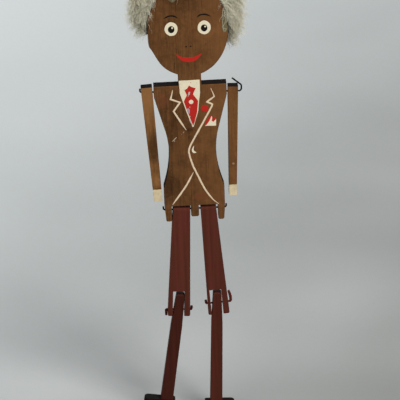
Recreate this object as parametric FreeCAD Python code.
import FreeCAD, Part
import math
import os
from collections import namedtuple

# Limberjack: a jointed wooden jig doll that dances on the end of a rod.
# Millimetres. +Z is up, the front of the doll looks along -Y, and +X is its own left side.
# The origin is the mouth of the rod socket, in the back face of the body board.
# A drop is a distance below the top of the shoulders.

# Body board: head, neck and torso sawn from one thin board
BOARD_THICKNESS = 9.5
SHOULDER_ABOVE_SOCKET = 50.0
SHOULDER_WIDTH = 56.4
SHOULDER_SIDE = 9.0
WAIST_WIDTH = 36.8
WAIST_DROP = 55.0
UPPER_WAIST_BOW = 0.62  # how round the waist is above its middle, 1 being one arc up to the corner
LOWER_WAIST_BOW = 0.98
HIP_DROP = 86.3
BOARD_EDGE_ROUND = 0.5

# Head, an egg wider than it is high below its widest line
HEAD_WIDTH = 61.6
CHIN_DEPTH = 37.0
CROWN_HEIGHT = 42.0
OUTLINE_STEPS = 8  # parts that each half of its outline is measured in
NECK_WIDTH = 17.8
NECK_HEIGHT = 7.5

# Three prongs at the bottom of the board, with a slot for each leg between them
MIDDLE_PRONG_WIDTH = 6.1
MIDDLE_PRONG_BELOW_PIN = 5.0
OUTER_PRONG_WIDTH = 5.6
OUTER_PRONG_TIP_WIDTH = 4.6
OUTER_PRONG_BELOW_PIN = 8.4
PRONG_ROUND = 1.4
HIP_PIN_DROP = 106.6
HIP_SIDE_CLEARANCE = 0.7
HIP_TOP_CLEARANCE = 0.4

# Rod socket, a blind hole in the back of the board
SOCKET_RADIUS = 3.2
SOCKET_DEPTH = 7.0

# Wires that the limbs swing on, and the room round them in their holes
WIRE_DIAMETER = 1.3
WIRE_CLEARANCE = 0.06
WIRE_BEND = 1.3
WIRE_END_GAP = 0.35
WIRE_STUB = 2.8
SHOULDER_WIRE_DROP = 7.2
SHOULDER_WIRE_SLOPE = 2.1  # degrees, drilled by eye and lower on the left

# Arms
RIGHT_ARM_TOP_WIDTH = 8.8
LEFT_ARM_TOP_WIDTH = 8.0
RIGHT_ARM_HAND_WIDTH = 6.5
LEFT_ARM_HAND_WIDTH = 6.0
ARM_DEPTH = 8.0
ARM_ABOVE_WIRE = 5.0
ARM_EDGE_ROUND = 0.4
RIGHT_ARM_LENGTH = 96.6
LEFT_ARM_LENGTH = 91.8
RIGHT_ARM_GAP = 0.8
LEFT_ARM_GAP = 0.8
RIGHT_ARM_TILT = 3.1
LEFT_ARM_TILT = 1.8

# Hook in the left end of the shoulder wire: out from the arm, up, and back over it
HOOK_REACH = 2.7
HOOK_RISE = 4.9
HOOK_HEIGHT = 10.8
HOOK_RETURN = 4.6
HOOK_BEND = 2.0

# Upper legs
RIGHT_THIGH_TOP_WIDTH = 13.7
LEFT_THIGH_TOP_WIDTH = 12.3
RIGHT_THIGH_KNEE_WIDTH = 18.0
LEFT_THIGH_KNEE_WIDTH = 17.0
THIGH_DEPTH = 8.2
THIGH_LENGTH = 92.9
THIGH_EDGE_ROUND = 0.5
RIGHT_THIGH_SPLAY = 3.5
LEFT_THIGH_SPLAY = 3.25

# Knee forks at the lower ends of the upper legs
KNEE_SLOT_DEPTH = 22.4
KNEE_SIDE_CLEARANCE = 1.45
RIGHT_KNEE_OFFSET = 0.4  # how far outwards of an upper leg's middle its fork is cut
LEFT_KNEE_OFFSET = -1.1
KNEE_PRONG_ROUND = 1.8
RIGHT_KNEE_PIN_RISE = 4.9
LEFT_KNEE_PIN_RISE = 9.3
RIGHT_KNEE_WIRE_TAIL = 5.0
LEFT_KNEE_WIRE_TAIL = 9.2
LEFT_KNEE_WIRE_BULGE = 0.9

# Lower legs
SHIN_TOP_WIDTH = 6.5
SHIN_ROOT_WIDTH = 8.9
SHIN_FOOT_WIDTH = 9.8
SHIN_TONGUE_LENGTH = 27.0
SHIN_DEPTH = 7.5
RIGHT_SHIN_LENGTH = 94.7
LEFT_SHIN_LENGTH = 98.3
SHIN_TOP_GAP = 3.2
SHIN_EDGE_ROUND = 0.5
SHIN_TOP_ROUND = 1.2
RIGHT_SHIN_TILT = 5.5
LEFT_SHIN_TILT = -5.65
RIGHT_SHIN_SHIFT = 0.0  # how far outwards of its fork's middle a lower leg has slid on its wire
LEFT_SHIN_SHIFT = 0.4

# Feet, turned straight outwards
RIGHT_FOOT_LENGTH = 25.0
LEFT_FOOT_LENGTH = 24.0
FOOT_WIDTH = 9.5
FOOT_HEIGHT = 9.0
RIGHT_HEEL = 2.1
LEFT_HEEL = 4.3
FOOT_TOE_ROUND = 3.4
FOOT_HEEL_ROUND = 1.6
FOOT_EDGE_ROUND = 0.8

# Brad that nails each foot to its leg from below
BRAD_RADIUS = 0.7
BRAD_HEAD_RADIUS = 1.6
BRAD_HEAD_HEIGHT = 0.7
BRAD_GRIP = 7.0
BRAD_CLEARANCE = 0.02

# Wool hair, three tufts glued round the upper edge of the head
WOOL_GAP = 0.3
SIDE_WOOL_DEPTH = 15.0
SIDE_WOOL_SETBACK = 0.8  # how far the side tufts begin behind the front of the head
RIGHT_WOOL_WIDTH = 32.0
RIGHT_WOOL_HEIGHT = 48.0
RIGHT_WOOL_BELOW_TOP = 23.5
LEFT_WOOL_WIDTH = 26.0
LEFT_WOOL_HEIGHT = 53.0
LEFT_WOOL_BELOW_TOP = 28.0
CROWN_WOOL_WIDTH = 40.0
CROWN_WOOL_DEPTH = 18.0
CROWN_WOOL_HEIGHT = 18.0
CROWN_WOOL_BELOW_TOP = 2.0

# How far a cutting tool reaches past what it cuts, and how near counts as the same place
CUT_BEYOND = 1.0
SAME_PLACE = 1e-4

X_AXIS = FreeCAD.Vector(1, 0, 0)
Y_AXIS = FreeCAD.Vector(0, 1, 0)
Z_AXIS = FreeCAD.Vector(0, 0, 1)

MID_Y = -BOARD_THICKNESS / 2
SHOULDER_Z = SHOULDER_ABOVE_SOCKET
SHOULDER_WIRE_Z = SHOULDER_Z - SHOULDER_WIRE_DROP
HIP_PIN_Z = SHOULDER_Z - HIP_PIN_DROP
HEAD_CENTRE_Z = SHOULDER_Z + NECK_HEIGHT + CHIN_DEPTH
HEAD_TOP_Z = HEAD_CENTRE_Z + CROWN_HEIGHT
HOLE_RADIUS = WIRE_DIAMETER / 2 + WIRE_CLEARANCE
HIP_SLOT_WIDTH = max(RIGHT_THIGH_TOP_WIDTH, LEFT_THIGH_TOP_WIDTH) + 2 * HIP_SIDE_CLEARANCE
HIP_SLOT_TOP_Z = HIP_PIN_Z + THIGH_DEPTH / 2 + HIP_TOP_CLEARANCE
HIP_CENTRE_X = (MIDDLE_PRONG_WIDTH + HIP_SLOT_WIDTH) / 2
SLOT_OUTER_X = MIDDLE_PRONG_WIDTH / 2 + HIP_SLOT_WIDTH
HIP_HALF_WIDTH = SLOT_OUTER_X + OUTER_PRONG_WIDTH
TIP_HALF_WIDTH = SLOT_OUTER_X + OUTER_PRONG_TIP_WIDTH
KNEE_SLOT_WIDTH = SHIN_TOP_WIDTH + 2 * KNEE_SIDE_CLEARANCE

Arm = namedtuple("Arm", "sign top_width hand_width length gap tilt")
ARMS = {
    "right": Arm(-1, RIGHT_ARM_TOP_WIDTH, RIGHT_ARM_HAND_WIDTH, RIGHT_ARM_LENGTH, RIGHT_ARM_GAP,
                 RIGHT_ARM_TILT),
    "left": Arm(1, LEFT_ARM_TOP_WIDTH, LEFT_ARM_HAND_WIDTH, LEFT_ARM_LENGTH, LEFT_ARM_GAP, LEFT_ARM_TILT),
}

Leg = namedtuple("Leg", ["sign", "top_width", "knee_width", "splay", "pin_rise", "knee_offset", "tilt",
                         "shift", "shin_length", "heel", "foot_length"])
LEGS = {
    "right": Leg(-1, RIGHT_THIGH_TOP_WIDTH, RIGHT_THIGH_KNEE_WIDTH, RIGHT_THIGH_SPLAY, RIGHT_KNEE_PIN_RISE,
                 RIGHT_KNEE_OFFSET, RIGHT_SHIN_TILT, RIGHT_SHIN_SHIFT, RIGHT_SHIN_LENGTH, RIGHT_HEEL,
                 RIGHT_FOOT_LENGTH),
    "left": Leg(1, LEFT_THIGH_TOP_WIDTH, LEFT_THIGH_KNEE_WIDTH, LEFT_THIGH_SPLAY, LEFT_KNEE_PIN_RISE,
                LEFT_KNEE_OFFSET, LEFT_SHIN_TILT, LEFT_SHIN_SHIFT, LEFT_SHIN_LENGTH, LEFT_HEEL,
                LEFT_FOOT_LENGTH),
}

Tuft = namedtuple("Tuft", "sign width height below_top")
TUFTS = {
    "right": Tuft(-1, RIGHT_WOOL_WIDTH, RIGHT_WOOL_HEIGHT, RIGHT_WOOL_BELOW_TOP),
    "left": Tuft(1, LEFT_WOOL_WIDTH, LEFT_WOOL_HEIGHT, LEFT_WOOL_BELOW_TOP),
}


def front_prism(edges, y_front, y_back):
    """A solid from a closed outline in the XZ plane, between two Y values."""
    face = Part.Face(Part.Wire(Part.__sortEdges__(edges)))
    face.translate(Y_AXIS * y_front)
    return face.extrude(Y_AXIS * (y_back - y_front))


def polygon_edges(points):
    """The straight edges of a closed outline given as (x, z) points."""
    corners = [FreeCAD.Vector(x, 0, z) for x, z in points]
    return [Part.LineSegment(a, b).toShape() for a, b in zip(corners, corners[1:] + corners[:1])]


def box(x_range, y_range, z_range):
    """A box between two X, two Y and two Z values."""
    low = FreeCAD.Vector(x_range[0], y_range[0], z_range[0])
    sizes = [high - start for start, high in (x_range, y_range, z_range)]
    return Part.makeBox(*sizes, low)


def rod(start, end, radius):
    """A round rod between two points."""
    return Part.makeCylinder(radius, (end - start).Length, start, end - start)


def edges_along(shape, direction, lowest=None, highest=None):
    """The straight edges of a shape that run along a direction, between two Z values."""
    found = []
    for edge in shape.Edges:
        if not isinstance(edge.Curve, (Part.Line, Part.LineSegment)):
            continue
        start, end = edge.Vertexes[0].Point, edge.Vertexes[-1].Point
        if (end - start).normalize().cross(direction).Length > SAME_PLACE:
            continue
        if lowest is not None and min(start.z, end.z) < lowest:
            continue
        if highest is not None and max(start.z, end.z) > highest:
            continue
        found.append(edge)
    return found


def rounded_path(points, bend):
    """A wire along points, straight runs joined by tangent arcs of one bend radius."""
    edges = []
    here = points[0]
    for before, corner, after in zip(points, points[1:], points[2:]):
        way_in = (corner - before).normalize()
        way_out = (after - corner).normalize()
        turn = math.acos(max(-1.0, min(1.0, way_in.dot(way_out))))
        setback = bend * math.tan(turn / 2)
        arc_start = corner - way_in * setback
        arc_end = corner + way_out * setback
        inward = (way_out - way_in).normalize()
        arc_middle = corner + inward * (bend / math.cos(turn / 2) - bend)
        edges.append(Part.LineSegment(here, arc_start).toShape())
        edges.append(Part.Arc(arc_start, arc_middle, arc_end).toShape())
        here = arc_end
    edges.append(Part.LineSegment(here, points[-1]).toShape())
    return Part.Wire(edges)


def bent_wire(points, bend):
    """A round wire of the doll's own gauge, bent through points in its hinge plane."""
    spine = rounded_path(points, bend)
    section = Part.Wire(Part.makeCircle(WIRE_DIAMETER / 2, points[0], points[1] - points[0]))
    return spine.makePipeShell([section], True, False)


def stick(widths, depth, edge_round):
    """A tapered four-sided stick along Z, centred on X and Y, from its (z, width) pairs, long edges eased."""
    outline = [(width / 2, z) for z, width in widths] + [(-width / 2, z) for z, width in reversed(widths)]
    solid = front_prism(polygon_edges(outline), -depth / 2, depth / 2)
    end_edges = edges_along(solid, X_AXIS) + edges_along(solid, Y_AXIS)
    long_edges = [edge for edge in solid.Edges if not any(edge.isSame(end) for end in end_edges)]
    return solid.makeFillet(edge_round, long_edges)


def cross_hole(width, z):
    """The drill for a wire hole along X at a height, through the middle of a stick."""
    reach = width / 2 + CUT_BEYOND
    return rod(FreeCAD.Vector(-reach, 0, z), FreeCAD.Vector(reach, 0, z), HOLE_RADIUS)


def at_shoulder_wire(shape, x=0.0):
    """Move a piece made about the X axis to the shoulder wire's sloping line."""
    placed = shape.copy()
    placed.translate(X_AXIS * (x / math.cos(math.radians(SHOULDER_WIRE_SLOPE))))
    placed.rotate(FreeCAD.Vector(), Y_AXIS, SHOULDER_WIRE_SLOPE)
    placed.translate(FreeCAD.Vector(0, MID_Y, SHOULDER_WIRE_Z))
    return placed


def touch_point(outside, centre, radius, upper):
    """Where the line from an outside point touches a circle, as (x, z)."""
    dx, dz = outside[0] - centre[0], outside[1] - centre[1]
    distance = math.hypot(dx, dz)
    swing = math.acos(radius / distance)
    angle = math.atan2(dz, dx) + (swing if upper else -swing)
    return centre[0] + radius * math.cos(angle), centre[1] + radius * math.sin(angle)


# Body board

def widest_radius(waist, corner):
    """The radius of the arc that leaves the waist upright and ends in a corner."""
    out, along = corner[0] - waist[0], corner[1] - waist[1]
    return (out * out + along * along) / (2 * out)


def waist_arc(waist, corner, bow):
    """The end and the middle of an arc that leaves the waist upright and then heads for a corner."""
    radius = bow * widest_radius(waist, corner)
    centre = (waist[0] + radius, waist[1])
    end = touch_point(corner, centre, radius, corner[1] > waist[1])
    half_turn = math.atan2(end[1] - centre[1], centre[0] - end[0]) / 2
    middle = (centre[0] - radius * math.cos(half_turn), centre[1] + radius * math.sin(half_turn))
    return end, middle


def side_edges(sign):
    """One side of the torso, from the shoulder to the prong tip, as edges."""
    waist = (WAIST_WIDTH / 2, SHOULDER_Z - WAIST_DROP)
    shoulder = (SHOULDER_WIDTH / 2, SHOULDER_Z - SHOULDER_SIDE)
    hip = (HIP_HALF_WIDTH, SHOULDER_Z - HIP_DROP)
    upper_end, upper_middle = waist_arc(waist, shoulder, UPPER_WAIST_BOW)
    lower_end, lower_middle = waist_arc(waist, hip, LOWER_WAIST_BOW)
    corners = [(SHOULDER_WIDTH / 2, SHOULDER_Z), shoulder, upper_end, waist, lower_end, hip,
               (HIP_HALF_WIDTH, HIP_SLOT_TOP_Z), (TIP_HALF_WIDTH, HIP_PIN_Z - OUTER_PRONG_BELOW_PIN)]
    places = [FreeCAD.Vector(sign * x, 0, z) for x, z in corners]
    edges = [Part.LineSegment(a, b).toShape() for a, b in zip(places, places[1:])]
    for index, (x, z) in ((2, upper_middle), (3, lower_middle)):
        edges[index] = Part.Arc(places[index], FreeCAD.Vector(sign * x, 0, z), places[index + 1]).toShape()
    return edges, places[0], places[-1]


def torso_blank():
    """The torso without its slots."""
    left_side, left_top, left_bottom = side_edges(1)
    right_side, right_top, right_bottom = side_edges(-1)
    top = Part.LineSegment(left_top, right_top).toShape()
    bottom = Part.LineSegment(left_bottom, right_bottom).toShape()
    return front_prism(left_side + right_side + [top, bottom], -BOARD_THICKNESS, 0)


def egg_edges(grow):
    """The head's outline, two half ellipses that meet at its widest line."""
    centre = FreeCAD.Vector(0, 0, HEAD_CENTRE_Z)
    half_width = HEAD_WIDTH / 2 + grow
    ends = [FreeCAD.Vector(half_width, 0, HEAD_CENTRE_Z), FreeCAD.Vector(-half_width, 0, HEAD_CENTRE_Z)]
    edges = []
    for reach, way in ((CROWN_HEIGHT + grow, 1), (CHIN_DEPTH + grow, -1)):
        points = []
        for step in range(1, OUTLINE_STEPS):
            angle = math.pi * step / OUTLINE_STEPS
            points.append(centre + X_AXIS * (half_width * math.cos(angle))
                          + Z_AXIS * (way * reach * math.sin(angle)))
        curve = Part.BSplineCurve()
        curve.interpolate(Points=[ends[0]] + points + [ends[1]],
                          InitialTangent=Z_AXIS * way, FinalTangent=Z_AXIS * -way)
        edges.append(curve.toShape())
    return edges


def head_blank(grow=0.0):
    """The head as a flat egg, grown all round by an amount."""
    return front_prism(egg_edges(grow), -BOARD_THICKNESS - grow, grow)


def make_body_board():
    """Head, neck and torso in one board, with leg slots, wire holes and rod socket."""
    half_neck = NECK_WIDTH / 2
    neck = box((-half_neck, half_neck), (-BOARD_THICKNESS, 0), (SHOULDER_Z, HEAD_CENTRE_Z))
    board = torso_blank().fuse([neck, head_blank()]).removeSplitter()
    tip_z = HIP_PIN_Z - OUTER_PRONG_BELOW_PIN
    through = (-BOARD_THICKNESS - CUT_BEYOND, CUT_BEYOND)
    for sign in (-1, 1):
        inner, outer = sorted((sign * MIDDLE_PRONG_WIDTH / 2, sign * SLOT_OUTER_X))
        board = board.cut(box((inner, outer), through, (tip_z - CUT_BEYOND, HIP_SLOT_TOP_Z)))
    middle = MIDDLE_PRONG_WIDTH / 2
    prong_end = HIP_PIN_Z - MIDDLE_PRONG_BELOW_PIN
    board = board.cut(box((-middle, middle), through, (tip_z - CUT_BEYOND, prong_end)))
    tips = edges_along(board, Y_AXIS, highest=prong_end + SAME_PLACE)
    board = board.makeFillet(PRONG_ROUND, tips)
    front_and_back = [edge for edge in board.Edges if abs(abs(edge.CenterOfMass.y + BOARD_THICKNESS / 2)
                                                          - BOARD_THICKNESS / 2) < SAME_PLACE]
    board = board.makeFillet(BOARD_EDGE_ROUND, front_and_back)
    board = board.cut(at_shoulder_wire(cross_hole(SHOULDER_WIDTH, 0)))
    hip_hole = cross_hole(2 * HIP_HALF_WIDTH, HIP_PIN_Z)
    hip_hole.translate(Y_AXIS * MID_Y)
    board = board.cut(hip_hole)
    socket = rod(Y_AXIS * -SOCKET_DEPTH, Y_AXIS * CUT_BEYOND, SOCKET_RADIUS)
    return board.cut(socket)


# Arms and the wire that they swing on

def arm_middle_x(arm):
    """How far out the middle of an arm is at the shoulder wire."""
    return SHOULDER_WIDTH / 2 + arm.gap + arm.top_width / 2


def make_arm(arm):
    """An arm stick: square top, hand at the lower end, leaning in towards the hips."""
    widths = [(ARM_ABOVE_WIRE, arm.top_width), (ARM_ABOVE_WIRE - arm.length, arm.hand_width)]
    shape = stick(widths, ARM_DEPTH, ARM_EDGE_ROUND)
    shape = shape.rotate(FreeCAD.Vector(), Y_AXIS, arm.sign * arm.tilt - SHOULDER_WIRE_SLOPE)
    shape = shape.cut(cross_hole(2 * arm.top_width, 0))
    return at_shoulder_wire(shape, arm.sign * arm_middle_x(arm))


def make_shoulder_wire():
    """One wire through both arms and the torso: a bent stub on the right, a hook on the left."""
    right_face = -(arm_middle_x(ARMS["right"]) + RIGHT_ARM_TOP_WIDTH / 2)
    left_face = arm_middle_x(ARMS["left"]) + LEFT_ARM_TOP_WIDTH / 2
    stub_x = right_face - WIRE_END_GAP - WIRE_DIAMETER / 2
    profile = [(stub_x, WIRE_STUB), (stub_x, 0), (0, 0)]
    hook = [(0, 0), (left_face + HOOK_REACH, 0), (left_face + HOOK_REACH, HOOK_RISE),
            (left_face - HOOK_RETURN, HOOK_HEIGHT)]
    right_half = bent_wire([FreeCAD.Vector(x, 0, rise) for x, rise in profile], WIRE_BEND)
    left_half = bent_wire([FreeCAD.Vector(x, 0, rise) for x, rise in hook], HOOK_BEND)
    return at_shoulder_wire(right_half.fuse(left_half).removeSplitter())


def make_hip_wire():
    """One wire through the three prongs and both legs, its ends turned up."""
    stub_x = HIP_HALF_WIDTH + WIRE_END_GAP + WIRE_DIAMETER / 2
    profile = [(-stub_x, WIRE_STUB), (-stub_x, 0), (stub_x, 0), (stub_x, WIRE_STUB)]
    return bent_wire([FreeCAD.Vector(x, MID_Y, HIP_PIN_Z + rise) for x, rise in profile], WIRE_BEND)


# Legs. Each piece is first made upright, with its own pin at X = 0, and then put in place

def place_thigh(shape, leg):
    """Move a piece made about the hip pin to the hip, leaning outwards by the splay."""
    placed = shape.copy()
    placed.rotate(FreeCAD.Vector(), Y_AXIS, -leg.sign * leg.splay)
    placed.translate(FreeCAD.Vector(leg.sign * HIP_CENTRE_X, MID_Y, HIP_PIN_Z))
    return placed


def make_thigh(leg):
    """An upper leg: round top on the hip wire, fork with a wire hole at the knee."""
    thigh = stick([(0, leg.top_width), (-THIGH_LENGTH, leg.knee_width)], THIGH_DEPTH, THIGH_EDGE_ROUND)
    half_top = leg.top_width / 2
    crown = rod(X_AXIS * -half_top, X_AXIS * half_top, THIGH_DEPTH / 2)
    round_ends = [edge for edge in crown.Edges if isinstance(edge.Curve, Part.Circle)]
    crown = crown.makeFillet(THIGH_EDGE_ROUND, round_ends)
    thigh = thigh.fuse(crown)
    slot_top = KNEE_SLOT_DEPTH - THIGH_LENGTH
    slot_sides = [leg.sign * leg.knee_offset + half for half in (-KNEE_SLOT_WIDTH / 2, KNEE_SLOT_WIDTH / 2)]
    through = (-THIGH_DEPTH / 2 - CUT_BEYOND, THIGH_DEPTH / 2 + CUT_BEYOND)
    thigh = thigh.cut(box(slot_sides, through, (-THIGH_LENGTH - CUT_BEYOND, slot_top)))
    tips = edges_along(thigh, X_AXIS, highest=-THIGH_LENGTH + SAME_PLACE)
    thigh = thigh.makeFillet(KNEE_PRONG_ROUND, tips)
    thigh = thigh.cut(cross_hole(leg.knee_width, leg.pin_rise - THIGH_LENGTH))
    hip_hole = cross_hole(leg.top_width + THIGH_DEPTH, HIP_PIN_Z)
    hip_hole.translate(FreeCAD.Vector(leg.sign * HIP_CENTRE_X, MID_Y, 0))
    return place_thigh(thigh, leg).cut(hip_hole)


def knee_wire_x(leg):
    """How far out the bent ends of a knee wire stand, beside the upper leg's faces."""
    share = 1 - leg.pin_rise / THIGH_LENGTH
    face = (leg.top_width + (leg.knee_width - leg.top_width) * share) / 2
    return face + WIRE_END_GAP + WIRE_DIAMETER / 2


def knee_wire(leg, profile):
    """A knee wire bent along (x, rise) points, rise being measured from its pin."""
    pin_z = leg.pin_rise - THIGH_LENGTH
    return place_thigh(bent_wire([FreeCAD.Vector(x, 0, pin_z + rise) for x, rise in profile], WIRE_BEND), leg)


def make_right_knee_wire():
    """The right knee's wire: tail bent down on the outside, stub bent up on the inside."""
    leg = LEGS["right"]
    reach = knee_wire_x(leg)
    return knee_wire(leg, [(-reach, -RIGHT_KNEE_WIRE_TAIL), (-reach, 0), (reach, 0), (reach, WIRE_STUB)])


def make_left_knee_wire():
    """The left knee's wire: a long tail that bows out and back up the outside, stub inside."""
    leg = LEGS["left"]
    reach = knee_wire_x(leg)
    bulge = reach + LEFT_KNEE_WIRE_BULGE
    tail = LEFT_KNEE_WIRE_TAIL
    return knee_wire(leg, [(-reach, WIRE_STUB), (-reach, 0), (bulge, 0), (bulge, tail / 2), (reach, tail)])


def place_shin(shape, leg):
    """Move a piece made about the knee pin to the knee, leaning by its own tilt."""
    placed = shape.copy()
    placed.rotate(FreeCAD.Vector(), Y_AXIS, -leg.sign * leg.tilt)
    across = leg.sign * (leg.knee_offset + leg.shift)
    placed.translate(FreeCAD.Vector(across, 0, leg.pin_rise - THIGH_LENGTH))
    return place_thigh(placed, leg)


def shin_ends(leg):
    """How high a lower leg's two ends are, measured from its knee pin."""
    top = KNEE_SLOT_DEPTH - leg.pin_rise - SHIN_TOP_GAP
    return top, top - leg.shin_length


def make_shin(leg):
    """A lower leg: a tongue whittled to go in the knee fork, wider towards the foot."""
    top, bottom = shin_ends(leg)
    widths = [(top, SHIN_TOP_WIDTH), (top - SHIN_TONGUE_LENGTH, SHIN_ROOT_WIDTH), (bottom, SHIN_FOOT_WIDTH)]
    shin = stick(widths, SHIN_DEPTH, SHIN_EDGE_ROUND)
    shin = shin.makeFillet(SHIN_TOP_ROUND, edges_along(shin, X_AXIS, lowest=top - SAME_PLACE))
    nail_hole = rod(Z_AXIS * (bottom - CUT_BEYOND), Z_AXIS * (bottom + BRAD_GRIP + BRAD_CLEARANCE),
                    BRAD_RADIUS + BRAD_CLEARANCE)
    shin = place_shin(shin.cut(nail_hole), leg)
    knee_hole = cross_hole(SHIN_TOP_WIDTH + SHIN_DEPTH, leg.pin_rise - THIGH_LENGTH)
    return shin.cut(place_thigh(knee_hole, leg))


def make_foot(leg):
    """A foot block under its leg, toe outwards, with a hole for the brad."""
    top = shin_ends(leg)[1]
    sole = top - FOOT_HEIGHT
    half_width = FOOT_WIDTH / 2
    heel = SHIN_FOOT_WIDTH / 2 + leg.heel
    ends = sorted((-leg.sign * heel, leg.sign * (leg.foot_length - heel)))
    foot = box(ends, (-half_width, half_width), (sole, top))
    for side, radius in ((1, FOOT_TOE_ROUND), (-1, FOOT_HEEL_ROUND)):
        corners = [edge for edge in edges_along(foot, Z_AXIS)
                   if edge.CenterOfMass.x * leg.sign * side > 0
                   and abs(abs(edge.CenterOfMass.y) - half_width) < SAME_PLACE]
        foot = foot.makeFillet(radius, corners)
    rims = [edge for edge in foot.Edges
            if min(abs(edge.CenterOfMass.z - z) for z in (top, sole)) < SAME_PLACE]
    foot = foot.makeFillet(FOOT_EDGE_ROUND, rims)
    shank = rod(Z_AXIS * sole, Z_AXIS * (top + CUT_BEYOND), BRAD_RADIUS + BRAD_CLEARANCE)
    head = rod(Z_AXIS * sole, Z_AXIS * (sole + BRAD_HEAD_HEIGHT + BRAD_CLEARANCE),
               BRAD_HEAD_RADIUS + BRAD_CLEARANCE)
    return place_shin(foot.cut(shank).cut(head), leg)


def make_brad(leg):
    """The brad, its head flush with the sole."""
    bottom = shin_ends(leg)[1]
    sole = bottom - FOOT_HEIGHT
    head = rod(Z_AXIS * sole, Z_AXIS * (sole + BRAD_HEAD_HEIGHT), BRAD_HEAD_RADIUS)
    shank = rod(Z_AXIS * sole, Z_AXIS * (bottom + BRAD_GRIP), BRAD_RADIUS)
    return place_shin(head.fuse(shank).removeSplitter(), leg)


# Wool tufts, plain soft solids that grip the edge of the head

def wool_lump(centre, width, depth, height, grow):
    """An ellipsoid of wool, grown all round by an amount."""
    stretch = FreeCAD.Matrix()
    stretch.scale(width / 2 + grow, depth / 2 + grow, height / 2 + grow)
    lump = Part.makeSphere(1.0).transformGeometry(stretch)
    lump.translate(centre)
    return lump


def side_lump(tuft, grow=0.0):
    """The lump of a side tuft, centred where the head's edge is at that height."""
    z = HEAD_TOP_Z - tuft.below_top
    share = (z - HEAD_CENTRE_Z) / CROWN_HEIGHT
    edge_x = HEAD_WIDTH / 2 * math.sqrt(1 - share * share)
    y = SIDE_WOOL_SETBACK + SIDE_WOOL_DEPTH / 2 - BOARD_THICKNESS
    centre = FreeCAD.Vector(tuft.sign * edge_x, y, z)
    return wool_lump(centre, tuft.width, SIDE_WOOL_DEPTH, tuft.height, grow)


def make_side_wool(tuft):
    """A side tuft, clear of the head."""
    return side_lump(tuft).cut(head_blank(WOOL_GAP))


def make_crown_wool():
    """The tuft over the crown, clear of the head and the side tufts."""
    centre = FreeCAD.Vector(0, MID_Y, HEAD_TOP_Z - CROWN_WOOL_BELOW_TOP)
    crown = wool_lump(centre, CROWN_WOOL_WIDTH, CROWN_WOOL_DEPTH, CROWN_WOOL_HEIGHT, 0)
    crown = crown.cut(head_blank(WOOL_GAP))
    for tuft in TUFTS.values():
        crown = crown.cut(side_lump(tuft, WOOL_GAP))
    return crown


# All the pieces, by name

pieces = {
    "body_board": make_body_board(),
    "right_arm": make_arm(ARMS["right"]),
    "left_arm": make_arm(ARMS["left"]),
    "shoulder_wire": make_shoulder_wire(),
    "hip_wire": make_hip_wire(),
    "right_knee_wire": make_right_knee_wire(),
    "left_knee_wire": make_left_knee_wire(),
    "right_wool": make_side_wool(TUFTS["right"]),
    "left_wool": make_side_wool(TUFTS["left"]),
    "crown_wool": make_crown_wool(),
}
for side, leg in LEGS.items():
    pieces[side + "_upper_leg"] = make_thigh(leg)
    pieces[side + "_lower_leg"] = make_shin(leg)
    pieces[side + "_foot"] = make_foot(leg)
    pieces[side + "_foot_brad"] = make_brad(leg)

os.makedirs("parts", exist_ok=True)
for name, shape in pieces.items():
    shape.exportStep(os.path.join("parts", name + ".step"))
    print(name, "solids", len(shape.Solids), "valid", shape.isValid(), "volume", round(shape.Volume, 1))

# Where the hinges are, and which way they point, for whoever sets the joints
ONE_ALONG = (0.0, 1.0)
for side, arm in ARMS.items():
    middle = arm.sign * arm_middle_x(arm)
    marks = [at_shoulder_wire(Part.Vertex(FreeCAD.Vector()), middle + x).Point for x in ONE_ALONG]
    print("hinge", side, "shoulder", *marks[0], *(marks[1] - marks[0]).normalize())
for side, leg in LEGS.items():
    print("hinge", side, "hip", leg.sign * HIP_CENTRE_X, MID_Y, HIP_PIN_Z, *X_AXIS)
    marks = [place_thigh(Part.Vertex(FreeCAD.Vector(x, 0, leg.pin_rise - THIGH_LENGTH)), leg).Point
             for x in ONE_ALONG]
    print("hinge", side, "knee", *marks[0], *(marks[1] - marks[0]).normalize())
